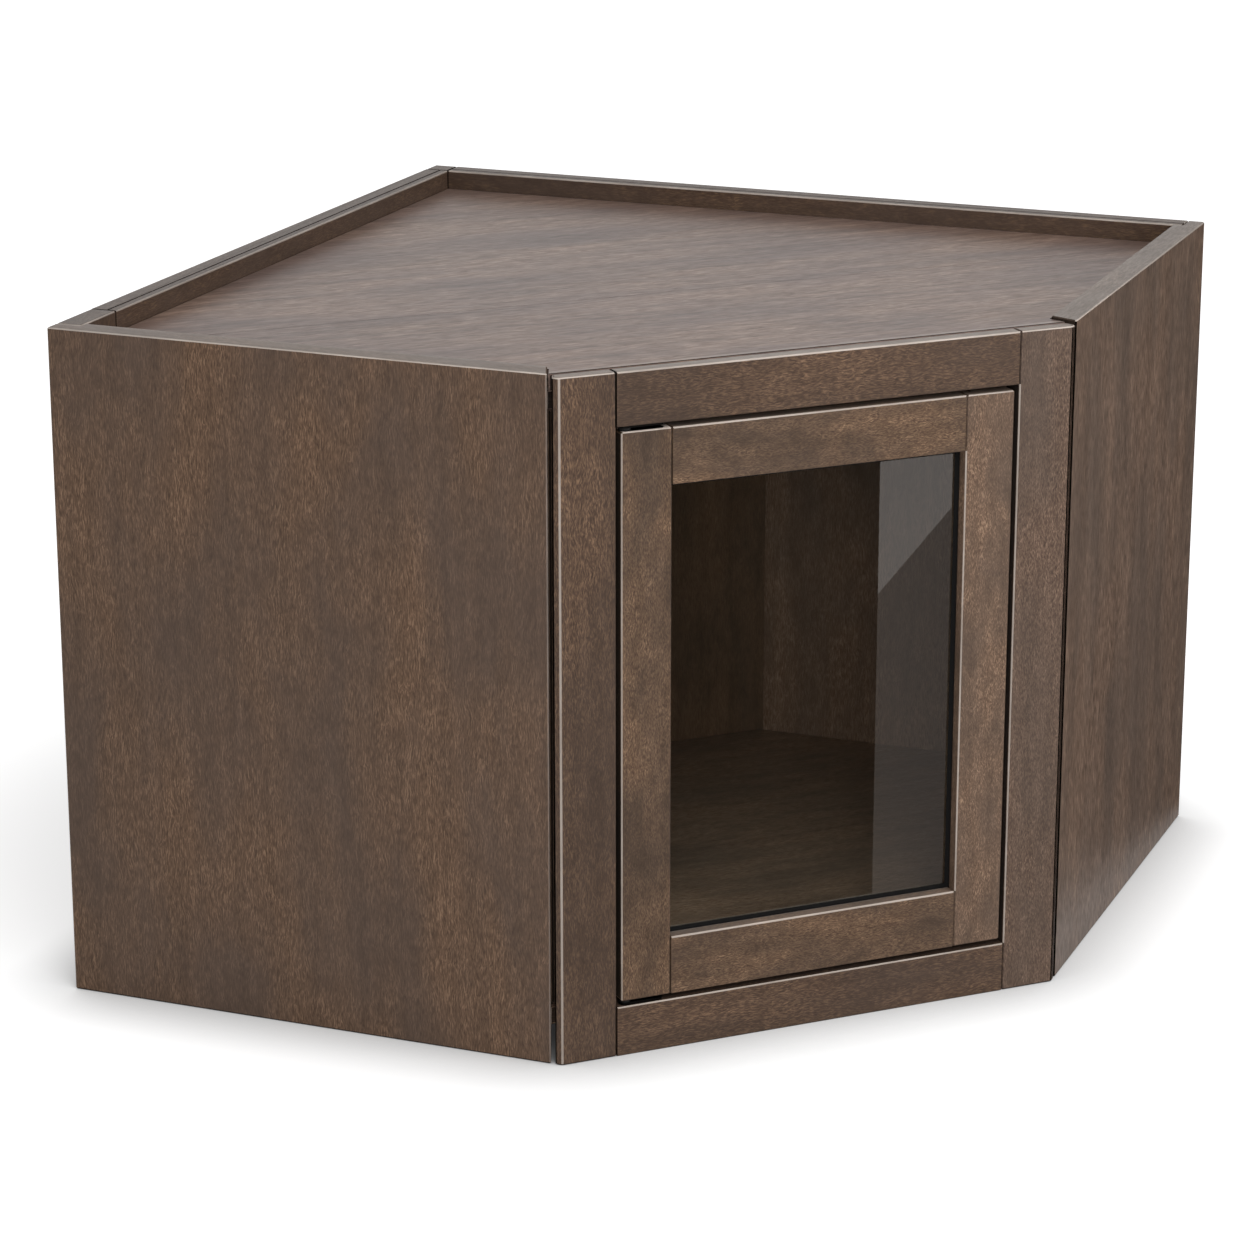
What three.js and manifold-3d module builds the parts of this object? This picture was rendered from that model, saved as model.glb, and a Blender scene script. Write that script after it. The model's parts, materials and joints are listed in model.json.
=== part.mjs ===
// Diagonal corner wall cabinet with an inset glass door.
// Millimetres, +Z up. The door faces -Y and the two walls run back at 45 degrees from it, to meet behind.
// The origin is the middle of the footprint's bounding box, on the plane of the bottom edges.

import * as THREE from 'three';
import { mergeVertices } from 'three/addons/utils/BufferGeometryUtils.js';
import Module from 'manifold-3d';

const wasm = await Module();
wasm.setup();

// ---- Driving dimensions -------------------------------------------------------------------------------------

// Case
const caseHeight = 457; // side panels, bottom edge to top edge
const wallLeg = 610; // along each wall, side panel's outer face to the corner
const sideDepth = 356; // side panel, wall to the front arris
const sideThickness = 19;
const panelThickness = 12.7; // top and bottom panels
const topRecess = 14; // top panel below the side panels' top edges
const grooveDepth = 6; // side panels, for the top and bottom panels

// Back
const backThickness = 18; // skin and hanging rail together
const skinThickness = 6;
const backRebateDepth = 7; // side panel's inner rear edge, holding the boards' ends
const hangingRailHeight = 76;
const backStileWidth = 40; // inside the left side panel
const cornerPanelHalf = 187; // half the width of the panel across the rear corner

// Face frame
const frameThickness = 19;
const frameDrop = 2; // frame's top edge below the side panels' top edges
const frameStileWidth = 38;
const frameTopRailHeight = 35;
const frameBottomRailHeight = 34;
const cornerReturn = 4.8; // stile's face that turns into line with the side panel
const mitreGap = 2.8; // shadow line between stile and side panel
const cleatLap = 9.5; // rebate across the frame's top rear edge
const cleatDepth = 19; // front cleat, front to back
const cleatGap = 3.6; // shadow line between frame and cleat
const blockReach = 22; // glue block along the frame's rear face
const blockLeg = 17; // glue block along the side panel

// Door
const doorThickness = 19;
const doorGap = 3.5; // all round
const doorStileWidth = 34.5;
const doorTopRailHeight = 37;
const doorBottomRailHeight = 39.5;
const glassLip = 9; // wood in front of the glass
const glassRebate = 7; // how far the rebate goes under the frame of the door
const glassThickness = 3;
const glassEdgeClearance = 0.9;

// Pivot hinges
const pivotInset = 4.5; // pin's axis, from the door's hinge edge
const pivotSetback = 5.5; // pin's axis, from the door's front face
const pinRadius = 2.4;
const pinHoleRadius = 2.6;
const pinTipBelowLeaf = 1.5;
const leafThickness = 2.4;
const leafRadius = 4; // half the leaf's width, and its round ends
const leafLength = 22; // pin's axis to the centre of the leaf's far end
const frameLeafSink = 1.2; // frame leaf let into the rail
const washerRadius = 3.8;

// Catch
const catchHeight = 46;
const catchWidth = 26;
const catchDepth = 12;
const catchOverlap = 13; // how far it stands into the door opening
const catchTopBelowOpening = 14;
const strikeWidth = 8;
const strikeHeight = 30;
const strikeThickness = 1.2;
const strikeEdgeInset = 1.2; // strike plate, from the door's free edge

// Making
const seat = 0.3; // between pieces that are glued or screwed together
const arris = 0.8; // eased edges that show
const fineArris = 0.35; // eased edges at joints and on small pieces
const roundSteps = 32; // facets of a full round

// ---- Worked out from them ---------------------------------------------------------------------------------

const diagonal = Math.SQRT1_2;
const quarterTurn = Math.PI / 2;
const mitreSlope = Math.tan(Math.PI / 8); // half of the 45 degrees between door face and side panel

const frontHalf = (wallLeg - sideDepth) * diagonal;
const planDepth = (wallLeg + sideDepth) * diagonal;
const rearTip = planDepth - arris * diagonal; // the corner post's eased rear arris
const sideRearX = wallLeg * diagonal;
const sideRearY = sideDepth * diagonal;

const frameTop = caseHeight - frameDrop;
const openingHalf = frontHalf - frameStileWidth;
const openingBottom = frameBottomRailHeight;
const openingTop = frameTop - frameTopRailHeight;
const topPanelTop = caseHeight - topRecess;
const topPanelUnderside = topPanelTop - panelThickness;
const floorTop = frameBottomRailHeight;
const floorUnderside = floorTop - panelThickness;

const mitreStart = cornerReturn + mitreGap / Math.cos(Math.PI / 8); // on the side panel's outer face
const rebateFloor = sideThickness - backRebateDepth;
const rebateStart = sideDepth - backThickness - seat;
const railThickness = backThickness - skinThickness - seat;
const boardEnd = wallLeg - backThickness - seat;

const doorHalf = openingHalf - doorGap;
const doorBottom = openingBottom + doorGap;
const doorTop = openingTop - doorGap;
const sightHalf = doorHalf - doorStileWidth;
const sightBottom = doorBottom + doorBottomRailHeight;
const sightTop = doorTop - doorTopRailHeight;
const stopFront = glassLip + seat + glassThickness + seat;
const pivotX = pivotInset - doorHalf;

// ---- Finishes ---------------------------------------------------------------------------------------------

const finish = (color, roughness, metalness = 0) => ({ color, roughness, metalness });
const sideVeneer = finish(0x5c4e45, 0.5);
const topVeneer = finish(0x6d6058, 0.5);
const insideVeneer = finish(0x4a3e36, 0.55);
const frameWood = finish(0x685a4f, 0.48);
const doorWood = finish(0x706052, 0.48);
const clearGlass = { color: 0xdfe6e6, roughness: 0.05, metalness: 0, transparent: true, opacity: 0.3 };
const hingeSteel = finish(0x4a4744, 0.4, 1);
const washerPlastic = finish(0x2f2c29, 0.5);
const catchPlastic = finish(0x3a322c, 0.6);

// ---- Making solids ----------------------------------------------------------------------------------------

// Cuts each corner of a closed outline. A sharp corner loses more, so that its end edges can be eased as well.
function easeOutline(points, ease) {
  const eased = [];
  points.forEach((point, i) => {
    const before = points[(i + points.length - 1) % points.length].clone().sub(point).normalize();
    const after = points[(i + 1) % points.length].clone().sub(point).normalize();
    const angle = Math.acos(before.dot(after));
    const sharpness = 1.5 * Math.tan((Math.PI - angle) / 4) / Math.sin(angle / 2);
    const along = ease * Math.max(1, sharpness);
    eased.push(point.clone().addScaledVector(before, along), point.clone().addScaledVector(after, along));
  });
  return eased;
}

const outline = (...pairs) => pairs.map(([x, y]) => new THREE.Vector2(x, y));

const rectangle = (x0, y0, x1, y1) => outline([x0, y0], [x1, y0], [x1, y1], [x0, y1]);

// The same outline seen in a mirror that lies along the first axis, or along the second.
const flipSecond = (points) => points.map((p) => new THREE.Vector2(p.x, -p.y)).reverse();
const flipFirst = (points) => points.map((p) => new THREE.Vector2(-p.x, p.y)).reverse();

// A board standing on its outline, from low to high along Z, with all its edges eased.
function prism(points, low, high, ease = arris) {
  const shape = new THREE.Shape(easeOutline(points, ease));
  const geometry = new THREE.ExtrudeGeometry(shape, {
    depth: high - low - 2 * ease,
    steps: 1,
    bevelEnabled: true,
    bevelSegments: 1,
    bevelSize: ease,
    bevelOffset: -ease,
    bevelThickness: ease,
  });
  return geometry.translate(0, 0, low + ease);
}

// A bar whose outline lies across X: the outline's first axis is Y and its second is Z.
function bar(points, left, right, ease = arris) {
  const basis = new THREE.Matrix4().makeBasis(
    new THREE.Vector3(0, 1, 0),
    new THREE.Vector3(0, 0, 1),
    new THREE.Vector3(1, 0, 0),
  );
  return prism(points, left, right, ease).applyMatrix4(basis);
}

// A plate whose outline is seen from the front: the first axis is X and the second is Z.
function plate(points, front, rear, ease = fineArris) {
  return prism(points, -rear, -front, ease).rotateX(quarterTurn);
}

function box(x0, y0, z0, x1, y1, z1) {
  const geometry = new THREE.BoxGeometry(x1 - x0, y1 - y0, z1 - z0);
  return geometry.translate((x0 + x1) / 2, (y0 + y1) / 2, (z0 + z1) / 2);
}

function disc(radius, x, y, low, high) {
  const geometry = new THREE.CylinderGeometry(radius, radius, high - low, roundSteps);
  return geometry.rotateX(quarterTurn).translate(x, y, (low + high) / 2);
}

function toSolid(geometry) {
  const bare = geometry.clone();
  bare.deleteAttribute('normal');
  bare.deleteAttribute('uv');
  const merged = mergeVertices(bare, 1e-4);
  return new wasm.Manifold(new wasm.Mesh({
    numProp: 3,
    vertProperties: new Float32Array(merged.attributes.position.array),
    triVerts: new Uint32Array(merged.index.array),
  }));
}

function fromSolid(solid) {
  const mesh = solid.getMesh();
  const geometry = new THREE.BufferGeometry();
  geometry.setAttribute('position', new THREE.BufferAttribute(mesh.vertProperties, 3));
  geometry.setIndex(new THREE.BufferAttribute(mesh.triVerts, 1));
  geometry.computeVertexNormals();
  return geometry;
}

function cut(geometry, ...tools) {
  return fromSolid(tools.reduce((solid, tool) => solid.subtract(toSolid(tool)), toSolid(geometry)));
}

function join(geometry, ...others) {
  return fromSolid(others.reduce((solid, other) => solid.add(toSolid(other)), toSolid(geometry)));
}

function piece(name, geometry, material) {
  const mesh = new THREE.Mesh(geometry, new THREE.MeshStandardMaterial(material));
  mesh.name = name;
  return mesh;
}

function group(children, x = 0, y = 0, turn = 0) {
  const made = new THREE.Group();
  made.position.set(x, y, 0);
  made.rotation.z = turn;
  made.add(...children);
  return made;
}

// ---- Case -------------------------------------------------------------------------------------------------

// Side panel lying along its own first axis from the front arris to the wall, second axis inwards.
// The front edge is mitred, the inner rear edge is rebated for the back boards.
const sideOutline = outline(
  [mitreStart, 0],
  [sideDepth, 0],
  [sideDepth, rebateFloor],
  [rebateStart, rebateFloor],
  [rebateStart, sideThickness],
  [mitreStart + sideThickness * mitreSlope, sideThickness],
);

// Stopped by nothing at the front: the frame's stile covers the groove's open end.
function sidePanel(name, mirror) {
  const board = prism(mirror(sideOutline), 0, caseHeight);
  const grooveFloor = sideThickness - grooveDepth;
  const grooves = [[floorUnderside, floorTop], [topPanelUnderside, topPanelTop]].map(([low, high]) => {
    const grooveOutline = rectangle(0, grooveFloor, rebateStart + seat, sideThickness + 1);
    return new THREE.ExtrudeGeometry(new THREE.Shape(mirror(grooveOutline)), {
      depth: high - low + 2 * seat,
      bevelEnabled: false,
    }).translate(0, 0, low - seat);
  });
  return piece(name, cut(board, ...grooves), sideVeneer);
}

// Plan of the top and bottom panels: behind the frame, in the side panels' grooves, up to the back boards.
function panelOutline() {
  const tongue = sideThickness - grooveDepth + seat;
  const front = frameThickness + seat;
  const frontCorner = frontHalf + front - 2 * tongue * diagonal;
  const along = rebateStart;
  const rearCorner = [frontHalf + (along - tongue) * diagonal, (along + tongue) * diagonal];
  const apex = planDepth - (backThickness + seat) / diagonal;
  return outline(
    [-frontCorner, front],
    [frontCorner, front],
    rearCorner,
    [0, apex],
    [-rearCorner[0], rearCorner[1]],
  );
}

function casePanels() {
  return [
    piece('top_panel', prism(panelOutline(), topPanelUnderside, topPanelTop, fineArris), topVeneer),
    piece('bottom_panel', prism(panelOutline(), floorUnderside, floorTop, fineArris), insideVeneer),
  ];
}

// ---- Back -------------------------------------------------------------------------------------------------

// Boards of one wall. First axis from the side panel's outer face to the corner, second axis into the case.
function backBoards(side, mirror, start) {
  const board = (name, near, far, low, high, material) => piece(
    `${name}_${side}`,
    prism(mirror(rectangle(start, near, boardEnd, far)), low, high, fineArris),
    material,
  );
  return [
    board('back_skin', backThickness - skinThickness, backThickness, 0, caseHeight, insideVeneer),
    board('top_hanging_rail', 0, railThickness, caseHeight - hangingRailHeight, caseHeight, sideVeneer),
    board('bottom_hanging_rail', 0, railThickness, 0, hangingRailHeight, sideVeneer),
  ];
}

function backStile(mirror) {
  const from = rebateFloor + seat;
  const to = sideThickness + backStileWidth;
  return piece('back_stile_left', prism(mirror(rectangle(from, 0, to, backThickness)), 0, caseHeight), sideVeneer);
}

function cornerPost() {
  const post = rectangle(wallLeg - backThickness, 0, wallLeg, backThickness);
  return piece('back_corner_post', prism(post, 0, caseHeight), sideVeneer);
}

// Panel across the rear corner, from one back skin to the other.
function cornerPanel() {
  const front = planDepth - backThickness / diagonal - cornerPanelHalf;
  const half = cornerPanelHalf - seat / diagonal;
  const rear = front + panelThickness;
  const rearHalf = half - panelThickness;
  const board = outline([-half, front], [half, front], [rearHalf, rear], [-rearHalf, rear]);
  return piece('corner_panel', prism(board, floorTop + seat, topPanelUnderside - seat, fineArris), insideVeneer);
}

// ---- Face frame -------------------------------------------------------------------------------------------

const returnStep = cornerReturn * diagonal;

const frameStileOutline = outline(
  [openingHalf, 0],
  [frontHalf, 0],
  [frontHalf + returnStep, returnStep],
  [frontHalf + returnStep - (frameThickness - returnStep) * mitreSlope, frameThickness],
  [openingHalf, frameThickness],
);

function frameStile(name, mirror) {
  const stile = prism(mirror(frameStileOutline), 0, frameTop);
  const reach = frontHalf + frameThickness;
  const cleatRebate = box(-reach, frameThickness - cleatLap, topPanelTop, reach, 2 * frameThickness, caseHeight);
  return piece(name, cut(stile, cleatRebate), frameWood);
}

function frameRails() {
  const end = openingHalf - seat;
  const rebateY = frameThickness - cleatLap;
  const topOutline = outline(
    [0, openingTop],
    [frameThickness, openingTop],
    [frameThickness, topPanelTop],
    [rebateY, topPanelTop],
    [rebateY, frameTop],
    [0, frameTop],
  );
  const top = cut(bar(topOutline, -end, end, fineArris), leafPocket('frame', 1));
  const bottomOutline = rectangle(0, 0, frameThickness, frameBottomRailHeight);
  const bottom = cut(bar(bottomOutline, -end, end, fineArris), leafPocket('frame', -1));
  return [piece('frame_top_rail', top, frameWood), piece('frame_bottom_rail', bottom, frameWood)];
}

// Cleat on the top panel, lapped into the frame's rebate, with its ends fitted round the side panels' front edges.
function frontCleat() {
  const front = frameThickness - cleatLap + cleatGap;
  const rear = frameThickness - cleatLap + cleatDepth;
  const mitreFace = (y) => frontHalf + mitreStart * diagonal * (1 + mitreSlope) - y * mitreSlope - 2 * seat;
  const innerFace = (y) => frontHalf + y - (sideThickness + seat) / diagonal;
  const along = mitreStart + sideThickness * mitreSlope;
  const turn = (along + sideThickness) * diagonal;
  const half = [[mitreFace(front), front], [mitreFace(turn) - seat, turn], [innerFace(rear), rear]];
  const mirrored = half.map(([x, y]) => [-x, y]).reverse();
  const cleat = prism(outline(...half, ...mirrored), topPanelTop + seat, frameTop, fineArris);
  return piece('top_front_cleat', cleat, topVeneer);
}

// Wedge in the inner corner between a frame stile and its side panel.
function glueBlock(name, mirror) {
  const front = frameThickness + seat;
  const innerFace = (y) => frontHalf + y - (sideThickness + 2 * seat) / diagonal;
  const corner = (mitreStart + sideThickness * (1 + mitreSlope)) * diagonal + seat;
  const tip = corner + blockLeg * diagonal;
  const wedge = outline(
    [innerFace(corner) - blockReach, front],
    [innerFace(corner), front],
    [innerFace(corner), corner],
    [innerFace(tip), tip],
  );
  return piece(name, prism(mirror(wedge), floorTop + seat, topPanelUnderside - seat, fineArris), insideVeneer);
}

// ---- Pivot hinges -----------------------------------------------------------------------------------------

// Outline of a leaf with round ends, its first end centred on the pin.
function leafOutline(radius) {
  const shape = new THREE.Shape();
  shape.absarc(pivotX, pivotSetback, radius, quarterTurn, 3 * quarterTurn, false);
  shape.absarc(pivotX + leafLength, pivotSetback, radius, -quarterTurn, quarterTurn, false);
  return shape;
}

// Heights at one end of the door: up is 1 at the top and -1 at the bottom.
function pivotHeights(up) {
  const doorEnd = up > 0 ? doorTop : doorBottom;
  const railEdge = up > 0 ? openingTop : openingBottom;
  return {
    doorLeaf: [doorEnd - up * leafThickness, doorEnd],
    frameLeaf: [railEdge + up * (frameLeafSink - seat - leafThickness), railEdge + up * (frameLeafSink - seat)],
    doorEnd,
    railEdge,
  };
}

function slab(shape, levels) {
  const low = Math.min(...levels);
  const depth = Math.max(...levels) - low;
  return new THREE.ExtrudeGeometry(shape, { depth, bevelEnabled: false, curveSegments: roundSteps / 2 })
    .translate(0, 0, low);
}

function pinSpan(radius, levels) {
  return disc(radius, pivotX, pivotSetback, Math.min(...levels), Math.max(...levels));
}

// The pocket that a leaf is let into, on the door stile's end or on the frame rail.
function leafPocket(owner, up) {
  const heights = pivotHeights(up);
  const levels = owner === 'door'
    ? [heights.doorLeaf[0] - up * seat, heights.doorEnd + up * doorGap]
    : [heights.railEdge - up * doorGap, heights.railEdge + up * frameLeafSink];
  return slab(leafOutline(leafRadius + seat), levels);
}

function pivotHinge(end, up) {
  const { doorLeaf, frameLeaf } = pivotHeights(up);
  const pinTip = doorLeaf[0] - up * pinTipBelowLeaf;
  const frameSide = join(slab(leafOutline(leafRadius), frameLeaf), pinSpan(pinRadius, [pinTip, frameLeaf[1]]));
  const hole = pinSpan(pinHoleRadius, [doorLeaf[0] - up * seat, doorLeaf[1] + up * seat]);
  const doorSide = cut(slab(leafOutline(leafRadius), doorLeaf), hole);
  const washerLevels = [doorLeaf[1] + up * seat, frameLeaf[0] - up * seat];
  const washer = cut(pinSpan(washerRadius, washerLevels), pinSpan(pinHoleRadius, [pinTip, frameLeaf[1]]));
  return {
    fixed: [
      piece(`${end}_pivot_frame_leaf`, frameSide, hingeSteel),
      piece(`${end}_pivot_washer`, washer, washerPlastic),
    ],
    moving: piece(`${end}_pivot_door_leaf`, doorSide, hingeSteel),
  };
}

// Room for the pin's tip under the door leaf.
function pinTipHole(up) {
  const { doorLeaf } = pivotHeights(up);
  return pinSpan(pinHoleRadius + seat, [doorLeaf[0] - up * (pinTipBelowLeaf + seat), doorLeaf[0]]);
}

// ---- Catch ------------------------------------------------------------------------------------------------

function catchBody() {
  const inner = openingHalf - catchOverlap;
  const outer = inner + catchWidth;
  const onFrame = frameThickness + seat;
  const onStrike = doorThickness + seat + strikeThickness + seat;
  const rear = onFrame + catchDepth;
  const top = openingTop - catchTopBelowOpening;
  const plan = outline(
    [inner, onStrike],
    [openingHalf, onStrike],
    [openingHalf, onFrame],
    [outer, onFrame],
    [outer, rear],
    [inner, rear],
  );
  return piece('catch_body', prism(plan, top - catchHeight, top, fineArris), catchPlastic);
}

function strikePlate() {
  const outer = doorHalf - strikeEdgeInset;
  const middle = openingTop - catchTopBelowOpening - catchHeight / 2;
  const face = rectangle(outer - strikeWidth, middle - strikeHeight / 2, outer, middle + strikeHeight / 2);
  const front = doorThickness + seat;
  return piece('strike_plate', plate(face, front, front + strikeThickness, fineArris), hingeSteel);
}

// ---- Door -------------------------------------------------------------------------------------------------

function doorStileOutline() {
  return outline(
    [-doorHalf, 0],
    [-sightHalf, 0],
    [-sightHalf, glassLip],
    [-sightHalf - glassRebate, glassLip],
    [-sightHalf - glassRebate, doorThickness],
    [-doorHalf, doorThickness],
  );
}

function doorStiles() {
  const hinged = cut(
    prism(doorStileOutline(), doorBottom, doorTop),
    leafPocket('door', 1),
    leafPocket('door', -1),
    pinTipHole(1),
    pinTipHole(-1),
  );
  const free = prism(flipFirst(doorStileOutline()), doorBottom, doorTop);
  return [piece('door_stile_left', hinged, doorWood), piece('door_stile_right', free, doorWood)];
}

// A door rail, up is 1 at the top of the door. Behind the glass lip it runs on into the stiles' rebates.
function doorRail(name, up) {
  const sightEdge = up > 0 ? sightTop : sightBottom;
  const outerEdge = up > 0 ? doorTop : doorBottom;
  const step = sightEdge + up * glassRebate;
  const section = outline(
    [0, sightEdge],
    [glassLip, sightEdge],
    [glassLip, step],
    [doorThickness, step],
    [doorThickness, outerEdge],
    [0, outerEdge],
  );
  const front = bar(up > 0 ? section : section.reverse(), seat - sightHalf, sightHalf - seat, fineArris);
  const reach = sightHalf + glassRebate - seat;
  const [low, high] = [step, outerEdge].sort((a, b) => a - b);
  const shoulder = bar(rectangle(glassLip + seat, low, doorThickness, high), -reach, reach, fineArris);
  return piece(name, join(front, shoulder), doorWood);
}

function glassPane() {
  const spare = glassRebate - glassEdgeClearance;
  const face = rectangle(-sightHalf - spare, sightBottom - spare, sightHalf + spare, sightTop + spare);
  const front = glassLip + seat;
  return piece('glass_pane', plate(face, front, front + glassThickness), clearGlass);
}

// Four strips behind the glass, mitred at the corners.
function glassStops() {
  const grow = glassRebate - seat;
  const inner = [-sightHalf - seat, sightBottom - seat, sightHalf + seat, sightTop + seat];
  const outer = [-sightHalf - grow, sightBottom - grow, sightHalf + grow, sightTop + grow];
  const [ix0, iz0, ix1, iz1] = inner;
  const [ox0, oz0, ox1, oz1] = outer;
  const trim = seat; // each end is shortened by this, so neighbours stay apart
  const strips = {
    left: outline([ox0, oz0 + trim], [ix0, iz0 + trim], [ix0, iz1 - trim], [ox0, oz1 - trim]),
    right: outline([ix1, iz0 + trim], [ox1, oz0 + trim], [ox1, oz1 - trim], [ix1, iz1 - trim]),
    top: outline([ix0 + trim, iz1], [ix1 - trim, iz1], [ox1 - trim, oz1], [ox0 + trim, oz1]),
    bottom: outline([ox0 + trim, oz0], [ox1 - trim, oz0], [ix1 - trim, iz0], [ix0 + trim, iz0]),
  };
  return Object.entries(strips).map(([side, face]) => piece(
    `glass_stop_${side}`,
    plate(face, stopFront, doorThickness),
    doorWood,
  ));
}

// ---- Assembly ---------------------------------------------------------------------------------------------

const same = (points) => points;
const upper = pivotHinge('upper', 1);
const lower = pivotHinge('lower', -1);

// Each side group starts at a front arris, each wall group at a rear one. On the left they are mirrored.
const rightSide = group([sidePanel('side_panel_right', same)], frontHalf, 0, quarterTurn / 2);
const leftSide = group([sidePanel('side_panel_left', flipSecond)], -frontHalf, 0, 3 * quarterTurn / 2);
const rightWall = group(
  [...backBoards('right', same, rebateFloor + seat), cornerPost()],
  sideRearX,
  sideRearY,
  3 * quarterTurn / 2,
);
const leftWall = group(
  [backStile(flipSecond), ...backBoards('left', flipSecond, sideThickness + backStileWidth + seat)],
  -sideRearX,
  sideRearY,
  quarterTurn / 2,
);

const faceFrame = group([
  frameStile('frame_stile_left', flipFirst),
  frameStile('frame_stile_right', same),
  ...frameRails(),
  glueBlock('glue_block_left', flipFirst),
  glueBlock('glue_block_right', same),
  ...upper.fixed,
  ...lower.fixed,
  catchBody(),
]);

const door = group([
  ...doorStiles(),
  doorRail('door_top_rail', 1),
  doorRail('door_bottom_rail', -1),
  glassPane(),
  ...glassStops(),
  upper.moving,
  lower.moving,
  strikePlate(),
]);

const cabinet = group(
  [leftSide, rightSide, leftWall, rightWall, ...casePanels(), cornerPanel(), frontCleat(), faceFrame, door],
  0,
  -rearTip / 2,
);

export default cabinet;
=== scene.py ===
"""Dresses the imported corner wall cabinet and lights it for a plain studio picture.

Everything is in metres in the cabinet's own frame: +Z is up, the door faces -Y, and the walls run back at
45 degrees.
"""

import json
import logging
import math
import random
from dataclasses import dataclass, field, replace
from enum import Enum
from typing import Any, Sequence

import bmesh
import bpy
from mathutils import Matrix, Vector
from mathutils.bvhtree import BVHTree

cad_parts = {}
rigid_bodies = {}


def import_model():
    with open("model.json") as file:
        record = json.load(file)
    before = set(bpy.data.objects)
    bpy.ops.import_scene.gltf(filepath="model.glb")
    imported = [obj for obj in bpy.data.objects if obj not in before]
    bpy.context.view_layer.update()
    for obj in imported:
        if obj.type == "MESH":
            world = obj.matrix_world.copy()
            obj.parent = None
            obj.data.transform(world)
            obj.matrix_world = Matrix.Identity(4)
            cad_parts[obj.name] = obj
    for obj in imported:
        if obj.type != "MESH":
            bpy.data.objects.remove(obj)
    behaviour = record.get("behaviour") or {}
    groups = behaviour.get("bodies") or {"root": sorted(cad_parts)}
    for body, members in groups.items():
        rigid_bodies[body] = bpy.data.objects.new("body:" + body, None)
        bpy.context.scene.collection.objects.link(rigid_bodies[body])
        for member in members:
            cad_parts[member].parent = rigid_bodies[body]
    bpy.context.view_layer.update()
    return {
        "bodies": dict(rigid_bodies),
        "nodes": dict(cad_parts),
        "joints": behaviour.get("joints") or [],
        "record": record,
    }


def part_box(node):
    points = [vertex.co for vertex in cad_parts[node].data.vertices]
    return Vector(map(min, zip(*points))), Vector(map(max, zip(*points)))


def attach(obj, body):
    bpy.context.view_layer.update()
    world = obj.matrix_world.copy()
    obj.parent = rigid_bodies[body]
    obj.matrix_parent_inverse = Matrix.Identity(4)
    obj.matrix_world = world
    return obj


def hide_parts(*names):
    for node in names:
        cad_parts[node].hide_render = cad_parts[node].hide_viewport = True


Pair = tuple[float, float]
Triple = tuple[float, float, float]
Tree = bpy.types.NodeTree
Material = bpy.types.Material
Node = bpy.types.Node
Object = bpy.types.Object
Shape = bmesh.types.BMesh
Face = bmesh.types.BMFace

LOG = logging.getLogger("cabinet")
MM = 0.001
DIAGONAL = math.sqrt(0.5)
UP = (0.0, 0.0, 1.0)
FRONT = (0.0, -1.0, 0.0)
WHITE = "#ffffff"
BLACK = "#000000"

GRAIN = "grain_mm"  # on each face corner: place along, across and through the board, in millimetres
EDGE = "edge_tone"  # on each face: above 0 the finish is rubbed back and a painted highlight lies, below 0 the stain gathers in joints and painted shade lies in gaps
JOINT_AND_SHADE_TONE = -1.0  # the edge tone of joints and of painted shade in gaps and under the foot, which have a near-black finish of their own

NOISE_RANGE = {"From Min": 0.3, "From Max": 0.7}  # nearly all values of a noise lie between these
NOISE_SWING = 0.25  # how far a noise usually moves from its middle


class Grain(Enum):
    """Which way a board's grain runs, with the direction that its broad face looks."""

    UPRIGHT_FRONT = (UP, FRONT)
    UPRIGHT_LEFT_SIDE = (UP, (-DIAGONAL, -DIAGONAL, 0.0))
    UPRIGHT_RIGHT_SIDE = (UP, (DIAGONAL, -DIAGONAL, 0.0))
    UPRIGHT_LEFT_WALL = UPRIGHT_RIGHT_SIDE  # each wall looks the way that the other side's panel does
    UPRIGHT_RIGHT_WALL = UPRIGHT_LEFT_SIDE
    ACROSS_FRONT = ((1.0, 0.0, 0.0), FRONT)
    ALONG_LEFT_WALL = ((DIAGONAL, DIAGONAL, 0.0), (DIAGONAL, -DIAGONAL, 0.0))
    ALONG_RIGHT_WALL = ((-DIAGONAL, DIAGONAL, 0.0), (-DIAGONAL, -DIAGONAL, 0.0))
    FLAT = ((1.0, 0.0, 0.0), UP)


class Body(Enum):
    """The bodies that pieces ride on."""

    CABINET = "cabinet"
    DOOR = "door"


# ---- Colours and nodes ----


def linear(hex_colour: str) -> tuple[float, float, float, float]:
    """Turns an sRGB hex colour into linear light.

    Args:
        hex_colour: six hex digits after a hash.

    Returns:
        Red, green, blue and an alpha of 1.
    """
    channels = (int(hex_colour[i : i + 2], 16) / 255 for i in (1, 3, 5))
    r, g, b = (c / 12.92 if c <= 0.04045 else ((c + 0.055) / 1.055) ** 2.4 for c in channels)
    return (r, g, b, 1.0)


def add_node(tree: Tree, kind: str, links: dict[Any, Any] | None = None, **settings: Any) -> Node:
    """Adds one node to a tree.

    Args:
        tree: the node tree.
        kind: the node's type, without its ShaderNode prefix.
        links: input name or number to an output socket to link, or to a value to set there.
        settings: the node's own properties.

    Returns:
        The new node.
    """
    node = tree.nodes.new("ShaderNode" + kind)
    for key, value in settings.items():
        setattr(node, key, value)
    for key, value in (links or {}).items():
        if isinstance(value, bpy.types.NodeSocket):
            tree.links.new(value, node.inputs[key])
        else:
            node.inputs[key].default_value = value
    return node


def new_material(name: str) -> tuple[Material, Tree]:
    """Makes an empty material.

    Args:
        name: its name.

    Returns:
        The material and its tree.
    """
    material = bpy.data.materials.new(name)
    material.use_nodes = True
    tree = material.node_tree
    tree.nodes.clear()
    return material, tree


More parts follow.
